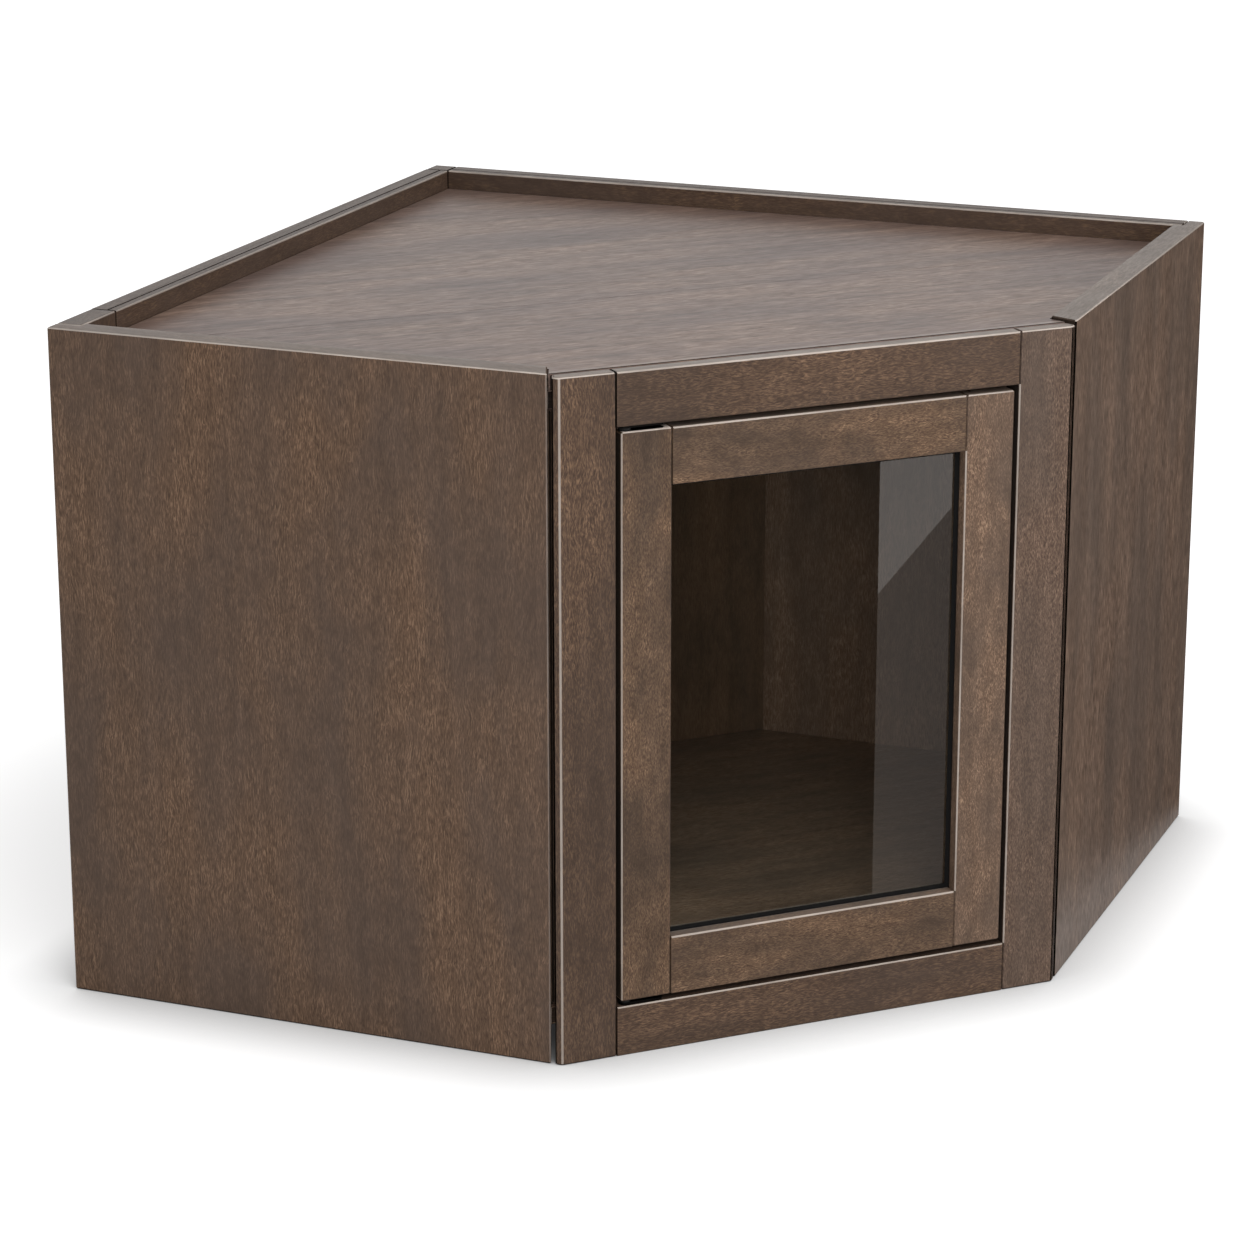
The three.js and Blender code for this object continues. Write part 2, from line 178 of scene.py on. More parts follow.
def add_object(name: str, shape: Shape, finish: Material) -> Object:
    """Makes an object of the scene from a shape, which it uses up.

    Args:
        name: its name.
        shape: the shape.
        finish: its first material.

    Returns:
        The object.
    """
    mesh = bpy.data.meshes.new(name)
    shape.to_mesh(mesh)
    shape.free()
    mesh.materials.append(finish)
    made = bpy.data.objects.new(name, mesh)
    bpy.context.scene.collection.objects.link(made)
    return made


# ---- Finishes ----


@dataclass(frozen=True)
class StainedMaple:
    """Maple, wiped with a smoky-brown stain and sprayed with a matted satin lacquer.

    Closed, fine grain: the stain settles into short wavy flecks between the fibres, which curl over the
    board, and blotches in warm and cool clouds. The lacquer shows little gloss face-on and a grey sheen
    at a low angle. It rubs back to paler wood along the arrises, which also carry a painted highlight
    where they face the light. The stain gathers dark in the joints, and painted shade darkens gaps and
    arrises that face away from the light.
    """

    name: str
    shade: str = "#443428"  # between the fibres
    stain: str = "#5d4839"  # on most of the board
    fleck: str = "#7e6551"  # on the fibres
    cool: str = "#55473f"  # blotch that the main colours are drawn towards
    worn_and_highlit: str = "#cdc1b7"  # where the finish is rubbed back, and the painted highlight along arrises that face the light
    joint_and_shade: str = "#120d0a"  # where the stain gathers in joints, and painted shade in gaps and on arrises turned from the light
    fleck_mm: Pair = (0.7, 6.0)  # across and along the grain: ten times a maple vessel, so that it shows
    curl_mm: Pair = (7.0, 16.0)
    streak_mm: Pair = (8.0, 150.0)
    cloud_mm: Pair = (50.0, 140.0)
    rub_and_highlight_mm: Pair = (12.0, 40.0)
    wander_size_mm: float = 26.0  # the fibres wander sideways over this length,
    wander_mm: float = 1.7  # by about this much
    fleck_contrast: float = 1.05
    lively_contrast: float = 1.6  # how much the curls change the flecks' own contrast
    curl_contrast: float = 0.5
    streak_contrast: float = 0.5
    cloud_contrast: float = 0.45
    tone_steps: Triple = (0.3, 0.5, 0.72)  # the fibres' height at which shade, stain and fleck are pure
    cool_from: float = 0.36  # the noise at which the cool blotches begin
    cool_full: float = 0.66  # and at which they are at their strongest,
    cool_share: float = 0.6  # which covers this much of the colour
    least_wear_and_highlight: float = 0.65  # the share of wear and painted highlight that every part of an arris has
    roughness: float = 0.42
    roughness_swing: float = 0.06
    ior: float = 1.25  # the matting takes most of the face-on gloss of a lacquer of 1.5
    grain_depth_mm: float = 0.08
    grain_strength: float = 0.5

    def _noise(self, tree: Tree, place: Any, size_mm: Pair, **values: float) -> Any:
        """Adds a noise whose features are longer along the grain than across it.

        Args:
            tree: the material's tree.
            place: the socket of the place in the board, in mm.
            size_mm: feature size across and along the grain.
            values: the noise's own input values.

        Returns:
            The noise's factor, about 0.5 on average.
        """
        width, length = size_mm
        shrink = (1 / length, 1 / width, 1 / width)
        scaled = add_node(tree, "VectorMath", {0: place, 1: shrink}, operation="MULTIPLY")
        inputs = {"Vector": scaled.outputs[0], "Scale": 1.0, **values}
        return add_node(tree, "TexNoise", inputs).outputs["Fac"]

    def _about_one(self, tree: Tree, value: Any, contrast: float) -> Any:
        """Turns a noise about 0.5 into a multiplier about 1.

        Args:
            tree: the material's tree.
            value: the noise's socket.
            contrast: how far the multiplier moves for a full unit of noise.

        Returns:
            The multiplier's socket.
        """
        inputs = {0: value, 1: contrast, 2: 1 - contrast / 2}
        return add_node(tree, "Math", inputs, operation="MULTIPLY_ADD").outputs[0]

    def _stained(self, tree: Tree, place: Any, wandered: Any, fibres: Any, curls: Any) -> Any:
        """Colours the fibres in three tones of stain, with cool blotches, curls, streaks and clouds.

        Args:
            tree: the material's tree.
            place: the socket of the place in the board, in mm.
            wandered: the same after the fibres' wandering.
            fibres: the socket with the fibres' height.
            curls: the socket of the curls' noise.

        Returns:
            The colour's socket.
        """
        streaks = self._noise(tree, wandered, self.streak_mm, Detail=3.0)
        clouds = self._noise(tree, place, self.cloud_mm, Detail=3.0, Distortion=0.3)
        tones = add_node(tree, "ValToRGB", {"Fac": fibres})
        first, last = tones.color_ramp.elements
        first.position, middle, last.position = self.tone_steps
        first.color = linear(self.shade)
        last.color = linear(self.fleck)
        tones.color_ramp.elements.new(middle).color = linear(self.stain)
        inputs = {"From Min": self.cool_from, "From Max": self.cool_full, "To Max": self.cool_share}
        cool = add_node(tree, "MapRange", {"Value": clouds, **inputs})
        inputs = {"Factor": cool.outputs[0], 6: tones.outputs[0], 7: linear(self.cool)}
        blotched = add_node(tree, "Mix", inputs, data_type="RGBA")
        level = self._about_one(tree, curls, self.curl_contrast)
        for noise, contrast in ((streaks, self.streak_contrast), (clouds, -self.cloud_contrast)):
            factor = self._about_one(tree, noise, contrast)
            level = add_node(tree, "Math", {0: level, 1: factor}, operation="MULTIPLY").outputs[0]
        inputs = {"Factor": 1.0, 6: blotched.outputs[2], 7: level}
        return add_node(tree, "Mix", inputs, data_type="RGBA", blend_type="MULTIPLY").outputs[2]

    def _edged(self, tree: Tree, place: Any, stained: Any) -> tuple[Any, Any]:
        """Pales the colour unevenly where an arris is rubbed back and carries a painted highlight, and
        darkens it where the stain gathers in joints and where painted shade lies.

        Args:
            tree: the material's tree.
            place: the socket of the place in the board, in mm.
            stained: the colour's socket.

        Returns:
            The new colour's socket and the darkness's, from 0 to 1.
        """
        edge = add_node(tree, "Attribute", attribute_name=EDGE).outputs["Fac"]
        rub_and_highlight_noise = self._noise(tree, place, self.rub_and_highlight_mm, Detail=3.0)
        rub_and_highlight_share = add_node(tree, "MapRange", {"Value": rub_and_highlight_noise, **NOISE_RANGE, "To Min": self.least_wear_and_highlight})
        # positive edge tones: wear and painted highlight, made uneven by the noise
        wear_and_highlight = add_node(tree, "Math", {0: edge, 1: rub_and_highlight_share.outputs[0]}, operation="MULTIPLY", use_clamp=True)
        # negative edge tones: joint stain and painted shade
        dark = add_node(tree, "Math", {0: edge, 1: -1.0}, operation="MULTIPLY", use_clamp=True)
        colour = stained
        for share, towards in ((wear_and_highlight, self.worn_and_highlit), (dark, self.joint_and_shade)):
            inputs = {"Factor": share.outputs[0], 6: colour, 7: linear(towards)}
            colour = add_node(tree, "Mix", inputs, data_type="RGBA").outputs[2]
        return colour, dark.outputs[0]

    def material(self) -> Material:
        """Builds the finish.

        Returns:
            The material.
        """
        made, tree = new_material(self.name)
        place = add_node(tree, "Attribute", attribute_name=GRAIN).outputs["Vector"]

        # The fibres wander: a slow noise pushes the place sideways before the flecks are drawn.
        inputs = {"Vector": place, "Scale": 1 / self.wander_size_mm, "Detail": 3.0}
        drift = add_node(tree, "TexNoise", inputs).outputs["Color"]
        inputs = {0: drift, 1: (0.5, 0.5, 0.5)}
        middle = add_node(tree, "VectorMath", inputs, operation="SUBTRACT")
        sideways = self.wander_mm / NOISE_SWING
        inputs = {0: middle.outputs[0], 1: (0.0, sideways, sideways), 2: place}
        wandered = add_node(tree, "VectorMath", inputs, operation="MULTIPLY_ADD").outputs[0]

        # The flecks' noise becomes the fibres' height, which is livelier where the grain curls.
        flecks = self._noise(tree, wandered, self.fleck_mm, Detail=2.0, Roughness=0.6)
        curls = self._noise(tree, wandered, self.curl_mm, Detail=2.0)
        lively = self._about_one(tree, curls, self.lively_contrast)
        away = add_node(tree, "Math", {0: flecks, 1: 0.5}, operation="SUBTRACT")
        lifted = add_node(tree, "Math", {0: away.outputs[0], 1: lively}, operation="MULTIPLY")
        inputs = {0: lifted.outputs[0], 1: self.fleck_contrast, 2: 0.5}
        fibres = add_node(tree, "Math", inputs, operation="MULTIPLY_ADD").outputs[0]

        stained = self._stained(tree, place, wandered, fibres, curls)
        colour, dark = self._edged(tree, place, stained)
        inputs = {"Height": fibres, "Strength": self.grain_strength, "Distance": self.grain_depth_mm * MM}
        bump = add_node(tree, "Bump", inputs)
        most, least = self.roughness + self.roughness_swing, self.roughness - self.roughness_swing
        rough = add_node(tree, "MapRange", {"Value": flecks, **NOISE_RANGE, "To Min": most, "To Max": least})
        dull = add_node(tree, "Math", {0: rough.outputs[0], 1: dark}, operation="ADD", use_clamp=True)
        inputs = {"Base Color": colour, "Roughness": dull.outputs[0], "IOR": self.ior}
        shader = add_node(tree, "BsdfPrincipled", {**inputs, "Normal": bump.outputs[0]})
        add_node(tree, "OutputMaterial", {"Surface": shader.outputs[0]})
        return made


@dataclass(frozen=True)
class FloatGlass:
    """Clear float glass, 3 mm: a faint green-grey tint, and sharp reflections from both faces."""

    name: str = "float_glass"
    tint: str = "#f4f7f6"  # at each face
    ior: float = 1.52
    faces: float = 1.9  # reflections that the front face shows for both

    def material(self) -> Material:
        """Builds the glass as a thin pane, through which light and sight go straight.

        Returns:
            The material.
        """
        made, tree = new_material(self.name)
        fresnel = add_node(tree, "Fresnel", {"IOR": self.ior}).outputs[0]
        both = add_node(tree, "Math", {0: fresnel, 1: self.faces}, operation="MULTIPLY", use_clamp=True)
        back = add_node(tree, "NewGeometry").outputs["Backfacing"]
        front = add_node(tree, "Math", {0: 1.0, 1: back}, operation="SUBTRACT")
        share = add_node(tree, "Math", {0: both.outputs[0], 1: front.outputs[0]}, operation="MULTIPLY")
        clear = add_node(tree, "BsdfTransparent", {"Color": linear(self.tint)})
        mirror = add_node(tree, "BsdfGlossy", {"Color": linear(WHITE), "Roughness": 0.0})
        inputs = {0: share.outputs[0], 1: clear.outputs[0], 2: mirror.outputs[0]}
        mixed = add_node(tree, "MixShader", inputs)
        add_node(tree, "OutputMaterial", {"Surface": mixed.outputs[0]})
        return made


def mottle(
    tree: Tree, colour: str, grain_mm: float, detail: float, tones: Pair, bump: Pair
) -> tuple[Any, Any, Any]:
    """Mottles a plain colour with one fine noise, which raises the surface too.

    Args:
        tree: the material's tree.
        colour: its sRGB hex colour.
        grain_mm: the noise's size.
        detail: how many finer noises lie in it.
        tones: the least and the most that the colour is multiplied by.
        bump: the bump's strength, and its depth in millimetres.

    Returns:
        The sockets of the noise, the colour and the normal.
    """
    place = add_node(tree, "TexCoord").outputs["Object"]
    inputs = {"Vector": place, "Scale": 1 / (grain_mm * MM), "Detail": detail}
    noise = add_node(tree, "TexNoise", inputs).outputs["Fac"]
    least, most = tones
    tone = add_node(tree, "MapRange", {"Value": noise, **NOISE_RANGE, "To Min": least, "To Max": most})
    inputs = {"Factor": 1.0, 6: linear(colour), 7: tone.outputs[0]}
    mottled = add_node(tree, "Mix", inputs, data_type="RGBA", blend_type="MULTIPLY")
    strength, depth_mm = bump
    raised = add_node(tree, "Bump", {"Height": noise, "Strength": strength, "Distance": depth_mm * MM})
    return noise, mottled.outputs[2], raised.outputs[0]


@dataclass(frozen=True)
class BlackenedSteel:
    """Pressed steel, chemically blackened and oiled: dark, slightly cloudy, with a soft shine."""

    name: str = "blackened_steel"
    colour: str = "#151413"
    cloud_mm: float = 6.0
    detail: float = 4.0
    tones: Pair = (0.9, 1.0)
    roughness: Pair = (0.45, 0.6)
    bump: Pair = (0.2, 0.03)  # its strength, and its depth in millimetres

    def material(self) -> Material:
        """Builds the blackened steel.

        Returns:
            The material.
        """
        made, tree = new_material(self.name)
        look = (self.colour, self.cloud_mm, self.detail, self.tones, self.bump)
        cloud, colour, normal = mottle(tree, *look)
        least, most = self.roughness
        rough = add_node(tree, "MapRange", {"Value": cloud, **NOISE_RANGE, "To Min": least, "To Max": most})
        inputs = {"Base Color": colour, "Metallic": 1.0, "Roughness": rough.outputs[0], "Normal": normal}
        shader = add_node(tree, "BsdfPrincipled", inputs)
        add_node(tree, "OutputMaterial", {"Surface": shader.outputs[0]})
        return made


@dataclass(frozen=True)
class MouldedPlastic:
    """Injection-moulded nylon or acetal with a fine spark-eroded texture, which breaks up its shine."""

    name: str
    colour: str
    grain_mm: float = 0.35  # spark erosion leaves about 0.05 mm: drawn coarser, to show
    detail: float = 2.0
    tones: Pair = (0.93, 1.04)
    roughness: float = 0.5
    ior: float = 1.5
    bump: Pair = (0.3, 0.05)  # its strength, and its depth in millimetres

    def material(self) -> Material:
        """Builds the plastic.

        Returns:
            The material.
        """
        made, tree = new_material(self.name)
        look = (self.colour, self.grain_mm, self.detail, self.tones, self.bump)
        _, colour, normal = mottle(tree, *look)
        inputs = {"Base Color": colour, "Roughness": self.roughness, "IOR": self.ior, "Normal": normal}
        shader = add_node(tree, "BsdfPrincipled", inputs)
        add_node(tree, "OutputMaterial", {"Surface": shader.outputs[0]})
        return made


# ---- Making boards ----


@dataclass(frozen=True)
class Edges:
    """How one board's edges are rubbed back and painted with highlight, and where they hold stain and
    painted shade.
    """

    wear_and_highlight: float = 1.0  # how much its arrises are rubbed and painted with highlight, 0 to 1
    joint_depth: float = 1.0  # how dark its joints are, 0 to 1
    level: float = 0.13  # wear and painted highlight on its level upper faces, or below 0 painted shade there
    shaded: Triple = (0.0, 0.0, 0.0)  # its narrow faces and arrises that look this way lie in a gap, painted black as shade
    lip: Triple | None = None  # the side of its upper face that has a painted highlight line
    cuts: tuple[float, ...] = ()  # heights at which a joint along its edge begins or ends


@dataclass
class Boards:
    """Turns the frame's solids into finished boards, with grain, softened arrises, stained joints, and
    painted highlights and shade along their edges.
    """

    frame: dict[str, Any]
    not_wood: tuple[str, ...] = ("pivot", "catch", "strike", "pane")  # words in the other solids' names
    weld_mm: float = 0.002
    cut_mm: float = 0.001  # a corner closer than this to a cut lies on it
    flat_deg: float = 0.4  # faces that meet at less are one
    smooth_deg: float = 62.0  # edges that turn by less are shaded smooth,
    smooth_weight: int = 100  # with the broad faces kept this flat, of 100
    log_mm: float = 4000.0  # the range of places that boards are cut from
    end_grain_from: float = 0.6  # a face that looks this much along the grain is an end
    arris_mm: float = 1.5  # faces narrower than this are arrises
    joint_mm: float = 1.3  # an arris closer than this to another board is at a joint
    gap_mm: float = 4.2  # a level arris closer than this to another board looks into a dark gap
    gap_shade: float = 0.4  # painted shade on that arris
    rim_mm: float = 0.7  # strip of wear and painted highlight on the face beside a narrow arris
    rim_share: float = 0.8
    rim_least_mm: float = 8.0  # a face smaller than a square of this side has no rim,
    rim_corners: int = 12  # nor has one with this many corners or more
    narrow_mm: float = 0.9  # an arris under this width has the rim
    wear_and_highlight_least: float = 0.08  # wear and painted highlight of an arris that only just faces the light,
    wear_and_highlight_gain: float = 1.25  # and how much more it has as it faces the light squarely
    # the painted highlight line along one side of an upper face: its width and tone
    lip_mm: float = 4.5
    lip_tone: float = 0.32
    away_arris_shade: float = 0.3  # painted shade on arrises that face away from the light
    return_mm: float = 6.0  # a stile's face round the corner is narrower than this
    reveal_mm: float = 25.0  # a face narrower than this, across a gap from another board, is painted with shade
    reveal_shade: float = 0.8
    foot_mm: float = 3.0  # an arris below this height that looks down is painted dark as shade
    level_from: float = 0.9  # a face whose normal rises by more is level
    shaded_from: float = 0.75  # a narrow face whose normal goes further along `shaded` lies in a gap and is painted black as shade
    sloping_from: float = 0.3  # an arris slopes where its normal has more than this of a direction
    light_and_rub_from: Triple = (-0.4, -0.25, 0.88)  # the direction of the light that the arrises' painted highlight stands for, and of the hands that rub them
    # near-black finish for joints, and painted shade in gaps and under the foot
    joint_and_shade_wood: StainedMaple = StainedMaple(
        "maple_joint_and_painted_shade",
        shade="#120d0a", stain="#17110d", fleck="#1e1713", cool="#15100d",
        worn_and_highlit="#2c231d", joint_and_shade="#0d0907",
        roughness=0.9,  # no sheen, so that joints and painted shade read black
        ior=1.05,
    )
    joint_and_shade_finish: Material = field(init=False)
    trees: dict[str, BVHTree] = field(default_factory=dict)

    def __post_init__(self) -> None:
        """Makes the finish for gaps, and a search tree of every wooden solid to find joints with."""
        self.joint_and_shade_finish = self.joint_and_shade_wood.material()
        for name, solid in self.frame["nodes"].items():
            if any(word in name for word in self.not_wood):
                continue
            corners = [vertex.co.copy() for vertex in solid.data.vertices]
            faces = [tuple(polygon.vertices) for polygon in solid.data.polygons]
            self.trees[name] = BVHTree.FromPolygons(corners, faces)

    def _clearance(self, node: str, spot: Vector) -> float:
        """Measures how far a place on a board is from the next board.

        Args:
            node: the board's own solid, which doesn't count.
            spot: the place.

        Returns:
            The distance in millimetres, or the widest gap that counts where nothing is closer.
        """
        reach = self.gap_mm * MM
        others = (tree.find_nearest(spot, reach)[3] for name, tree in self.trees.items() if name != node)
        return min((distance / MM for distance in others if distance is not None), default=self.gap_mm)

    def _width(self, face: Face) -> float:
        """Gives a long face's mean width, in metres."""
        return face.calc_area() / max(edge.calc_length() for edge in face.edges)

    def _cut(self, shape: Shape, faces: list[Face], along: Vector, distance: float) -> None:
        """Divides some of a board's faces with a plane.

        Args:
            shape: the board.
            faces: the faces.
            along: the plane's direction.
            distance: how far along it the plane lies, in metres.
        """
        edges = {edge for face in faces for edge in face.edges}
        corners = {vertex for face in faces for vertex in face.verts}
        bmesh.ops.bisect_plane(
            shape,
            geom=[*corners, *edges, *faces],
            dist=self.cut_mm * MM,
            plane_co=along * distance,
            plane_no=along,
        )

    def _highlight_lip(self, shape: Shape, towards: Vector) -> None:
        """Draws a painted highlight line along one side of a board's upper face.

        Args:
            shape: the board.
            towards: the direction of that side.
        """
        tone = shape.faces.layers.float[EDGE]
        start = max(vertex.co.dot(towards) for vertex in shape.verts) - self.lip_mm * MM
        self._cut(shape, [face for face in shape.faces if face.normal.z > self.level_from], towards, start)
        for face in shape.faces:
            if face.normal.z > self.level_from and face.calc_center_median().dot(towards) > start:
                face[tone] = self.lip_tone

    def _arris_tone(self, face: Face, node: str, edges: Edges) -> float:
        """Tells an arris's wear and painted highlight, or its joint stain and painted shade.

        Args:
            face: the arris.
            node: the board's solid.
            edges: how the board's edges are treated.

        Returns:
            Its edge tone.
        """
        normal, middle = face.normal, face.calc_center_median()
        # an arris at the foot that looks down: painted shade
        if normal.z < -self.sloping_from and middle.z < self.foot_mm * MM:
            return JOINT_AND_SHADE_TONE
        clearance = self._clearance(node, middle)
        if clearance < self.joint_mm:
            return -edges.joint_depth
        rises = normal.z > self.sloping_from
        # a level arris over a gap: painted shade
        if clearance < self.gap_mm and rises and abs(normal.x) > self.sloping_from:
            return -self.gap_shade
        # arrises that face the light: wear and painted highlight; the others: painted shade
        facing = normal.dot(Vector(self.light_and_rub_from).normalized())
        if facing > 0:
            return edges.wear_and_highlight * min(1.0, self.wear_and_highlight_gain * facing + self.wear_and_highlight_least)
        return -self.away_arris_shade

    def _face_tone(self, face: Face, node: str, edges: Edges, upper: float) -> float:
        """Tells a face's wear and painted highlight, or its joint stain and painted shade.

        Args:
            face: the face, an arris or a broader one.
            node: the board's solid.
            edges: how the board's edges are treated.
            upper: the height from which a level face is the board's upper edge.

        Returns:
            Its edge tone.
        """
        width, middle = self._width(face), face.calc_center_median()
        # narrow faces that look into a gap: painted black shade
        if width < self.return_mm * MM and face.normal.dot(Vector(edges.shaded)) > self.shaded_from:
            return JOINT_AND_SHADE_TONE
        if width < self.arris_mm * MM:
            return self._arris_tone(face, node, edges)
        if width > self.reveal_mm * MM:
            return 0.0
        # level upper faces: wear and painted highlight, or painted shade below 0
        if face.normal.z > self.level_from and middle.z > upper:
            return edges.level
        # faces across a gap from another board: painted shade
        return -self.reveal_shade if self._clearance(node, middle) < self.gap_mm else 0.0

    def _edge_tones(self, shape: Shape, node: str, edges: Edges) -> None:
        """Marks worn arrises with their painted highlights, dark joints and painted shade, and lays a thin
        rim of wear and painted highlight beside each narrow worn arris.

        Args:
            shape: the board.
            node: its solid's name.
            edges: how its edges are treated.
        """
        tone = shape.faces.layers.float.new(EDGE)
        upper = max(vertex.co.z for vertex in shape.verts) - self.arris_mm * MM
        narrow, wide = set(), []
        for face in shape.faces:
            face[tone] = self._face_tone(face, node, edges, upper)
            width = self._width(face)
            if width < self.narrow_mm * MM:
                narrow.add(face)
            elif width >= self.arris_mm * MM and len(face.verts) < self.rim_corners:
                if face.calc_area() > (self.rim_least_mm * MM) ** 2:
                    wide.append(face)
        if not wide:
            return
        rim = bmesh.ops.inset_individual(
            shape, faces=wide, thickness=self.rim_mm * MM, depth=0.0, use_even_offset=True
        )
        # the rim carries the arris's wear and painted highlight onto the face beside it
        for face in rim["faces"]:
            beside = [other[tone] for edge in face.edges for other in edge.link_faces if other in narrow]
            face[tone] = self.rim_share * max([0.0, *beside])

    def _grain(self, mesh: bpy.types.Mesh, grain: Grain, seed: int) -> None:
        """Writes where each face corner lies in its board. Ends are banded, with the grain along the band.

        Args:
            mesh: the board's mesh.
            grain: which way its grain runs.
            seed: a number of its own, so that no two boards are cut from one place.
        """
        along, face = (Vector(v) for v in grain.value)
        across = face.cross(along)
        draw = random.Random(seed)
        start = [draw.uniform(0, self.log_mm) for _ in range(3)]
        attribute = mesh.attributes.new(GRAIN, "FLOAT_VECTOR", "CORNER")
        for polygon in mesh.polygons:
            is_end = abs(polygon.normal.dot(along)) > self.end_grain_from
            banded = is_end or polygon.material_index == 1
            axes = (across, face, along) if banded else (along, across, face)
            for corner in polygon.loop_indices:
                place = mesh.vertices[mesh.loops[corner].vertex_index].co
                attribute.data[corner].vector = [place.dot(axis) / MM + o for axis, o in zip(axes, start)]

    def _shape(self, node: str, edges: Edges, facing_from: float | None) -> Shape:
        """Makes a board's shape from its solid, with its edge tones.

        Args:
            node: the solid's name.
            edges: how its edges are treated.
            facing_from: the height above which it has another veneer, if it has one.

        Returns:
            The shape.
        """
        shape = bmesh.new()
        shape.from_mesh(self.frame["nodes"][node].data)
        flat = math.radians(self.flat_deg)
        bmesh.ops.remove_doubles(shape, verts=shape.verts, dist=self.weld_mm * MM)
        bmesh.ops.dissolve_limit(
            shape, angle_limit=flat, verts=shape.verts, edges=shape.edges, delimit=set()
        )
        for height in edges.cuts:
            arrises = [face for face in shape.faces if self._width(face) < self.arris_mm * MM]
            self._cut(shape, arrises, Vector(UP), height)
        if facing_from is not None:
            self._cut(shape, list(shape.faces), Vector(UP), facing_from)
        self._edge_tones(shape, node, edges)
        if edges.lip:
            self._highlight_lip(shape, Vector(edges.lip))
        smooth = math.radians(self.smooth_deg)
        for edge in shape.edges:
            edge.smooth = len(edge.link_faces) == 2 and edge.calc_face_angle(0.0) < smooth
        return shape

    def make(
        self,
        node: str,
        finish: Material,
        grain: Grain,
        seed: int,
        edges: Edges = Edges(),
        body: Body = Body.CABINET,
        facing: tuple[float, Material] | None = None,
    ) -> None:
        """Makes the finished board that stands for one solid of the frame.

        Args:
            node: the solid's name.
            finish: its material.
            grain: which way its grain runs.
            seed: the number that sets where its grain is cut from.
            edges: how its edges are treated.
            body: what it rides on.
            facing: the height above which it is veneered lengthwise, and that veneer's finish.
        """
        shape = self._shape(node, edges, facing[0] if facing else None)
        board = add_object(f"{node}_board", shape, finish)
        mesh = board.data
        mesh.polygons.foreach_set("use_smooth", [True] * len(mesh.polygons))
        if facing:
            mesh.materials.append(facing[1])
            for polygon in mesh.polygons:
                polygon.material_index = int(polygon.center.z > facing[0])
        self._grain(mesh, grain, seed)
        tones = mesh.attributes[EDGE].data
        # joints and painted shade take the near-black finish
        joint_and_shade_faces = [polygon for polygon, tone in zip(mesh.polygons, tones) if tone.value <= JOINT_AND_SHADE_TONE]
        if joint_and_shade_faces:
            mesh.materials.append(self.joint_and_shade_finish)
        for polygon in joint_and_shade_faces:
            polygon.material_index = len(mesh.materials) - 1
        soften = board.modifiers.new("soft_arrises", "WEIGHTED_NORMAL")
        soften.keep_sharp = True
        soften.weight = self.smooth_weight
        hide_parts(node)
        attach(board, body.value)
        LOG.info("board %s: %d faces", node, len(mesh.polygons))


def paint(frame: dict[str, Any], node: str, finish: Material) -> None:
    """Gives a solid of the frame its finish.

    Args:
        frame: the loaded frame.
        node: the solid's name.
        finish: its material.
    """
    solid = frame["nodes"][node]
    if not solid.material_slots:
        solid.data.materials.append(finish)
    for slot in solid.material_slots:
        slot.material = finish
    LOG.info("solid %s: %s", node, finish.name)


# ---- Sub-assemblies ----


@dataclass
class Case:
    """Side panels, top and bottom panels, glue blocks, and the cleat behind the frame."""

    boards: Boards
    sides: StainedMaple = StainedMaple("maple_side_veneer")
    right_side: StainedMaple = StainedMaple(
        "maple_right_side_veneer",  # seen at a low angle, which closes up its flecks: they are drawn wider
        shade="#493b32", stain="#635145", fleck="#7f6a5b", cool="#5c5048",
        fleck_mm=(1.6, 9.0), streak_mm=(16.0, 150.0), streak_contrast=0.7,
    )
    top: StainedMaple = StainedMaple(
        "maple_top_veneer",  # a straight-grained sheet: long flecks, streaks and some more gloss
        shade="#655147", stain="#836d61", fleck="#a2897a", cool="#806d68",
        fleck_mm=(1.6, 16.0), fleck_contrast=0.8, streak_contrast=1.1, cloud_contrast=0.9,
        roughness=0.36, ior=1.28,
    )
    # painted light: the inside veneer is paler than the outside ones, standing in for light inside the case
    inside: StainedMaple = StainedMaple(
        "maple_inside_veneer", shade="#85664f", stain="#9c806d", fleck="#b49881", cool="#8c786a"
    )
    # painted highlights along the panels' and the cleat's upper faces; painted shade on the narrow front
    # faces of the right panel and of the cleat
    left_edges: Edges = Edges(level=0.25, lip=(DIAGONAL, DIAGONAL, 0.0))
    right_edges: Edges = Edges(level=0.28, shaded=FRONT, lip=(-DIAGONAL, DIAGONAL, 0.0))
    cleat_edges: Edges = Edges(wear_and_highlight=0.0, level=0.0, shaded=(0.0, -0.9, 0.9), lip=FRONT)
    hidden_edges: Edges = Edges(wear_and_highlight=0.0)

    def build(self) -> None:
        """Makes the case's boards."""
        make = self.boards.make
        top, inside = self.top.material(), self.inside.material()
        make("side_panel_left", self.sides.material(), Grain.UPRIGHT_LEFT_SIDE, 11, self.left_edges)
        right_side = self.right_side.material()
        make("side_panel_right", right_side, Grain.UPRIGHT_RIGHT_SIDE, 12, self.right_edges)
        make("top_panel", top, Grain.FLAT, 13)
        make("top_front_cleat", top, Grain.FLAT, 14, self.cleat_edges)
        make("bottom_panel", inside, Grain.FLAT, 15)
        for side, seed in (("left", 16), ("right", 17)):
            make(f"glue_block_{side}", inside, Grain.UPRIGHT_FRONT, seed, self.hidden_edges)


